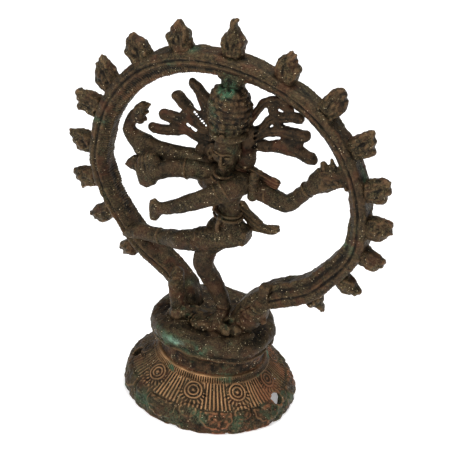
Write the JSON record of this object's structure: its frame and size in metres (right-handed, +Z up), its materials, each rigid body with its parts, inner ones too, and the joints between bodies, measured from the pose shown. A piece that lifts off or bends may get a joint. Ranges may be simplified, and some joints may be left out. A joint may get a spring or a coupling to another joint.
{
  "type": "nataraja statue",
  "caption": "Cast brass dancing figure in a ring of flames, on an oval hollow pedestal with a pole hole near each end.",
  "frame": {"origin": "centre of the pedestal's resting face", "axes": "+Z up, the dancer faces -Y, +X to the viewer's right"},
  "size_m": [0.21, 0.1, 0.25],
  "materials": {
    "pedestal_brass": "worn ochre brass over dark patina, with some green",
    "plinth_brass": "dark patina with bright verdigris on the front shoulder",
    "ring_brass": "dark brown-black patina with olive dust",
    "flame_brass": "dark patina, golden brown on the ridges",
    "figure_brass": "dark patina with olive dust and bright specks",
    "crown_brass": "dark patina with verdigris in the hollows",
    "copper_red_brass": "dark patina with red copper tones",
    "screw_steel": "plain dull steel"
  },
  "bodies": {
    "root": {"bead_collar": "pedestal_brass", "cobra": "figure_brass", "crown_bridge": "ring_brass", "diadem": "crown_brass", "dwarf": "figure_brass", "earrings": "crown_brass", "flame_01": "flame_brass", "flame_02": "flame_brass", "flame_03": "flame_brass", "flame_04": "flame_brass", "flame_05": "flame_brass", "flame_06": "flame_brass", "flame_07": "flame_brass", "flame_08": "flame_brass", "flame_09": "flame_brass", "flame_10": "flame_brass", "flame_11": "flame_brass", "flame_12": "flame_brass", "flame_13": "flame_brass", "flame_14": "flame_brass", "flame_15": "flame_brass", "flame_16": "flame_brass", "flame_17": "flame_brass", "front_left_arm": "figure_brass", "front_right_arm": "figure_brass", "girdle": "copper_red_brass", "hair_fan_left": "copper_red_brass", "hair_fan_right": "copper_red_brass", "hand_drum": "figure_brass", "hand_flame": "copper_red_brass", "head": "crown_brass", "headdress": "crown_brass", "neck_drum": "plinth_brass", "necklace": "copper_red_brass", "pedestal_back_left": "pedestal_brass", "pedestal_back_right": "pedestal_brass", "pedestal_front_left": "pedestal_brass", "pedestal_front_right": "pedestal_brass", "pedestal_roof": "pedestal_brass", "plinth": "plinth_brass", "raised_leg": "figure_brass", "rear_left_arm": "figure_brass", "rear_right_arm": "figure_brass", "ring_band": "ring_brass", "ring_foot_left": "ring_brass", "ring_foot_right": "ring_brass", "sash_tail": "copper_red_brass", "shoulder_scarf": "figure_brass", "standing_leg": "figure_brass", "tassel": "figure_brass", "tie_bolt": "screw_steel", "tie_washer": "screw_steel", "torso": "figure_brass"}
  },
  "joints": []
}
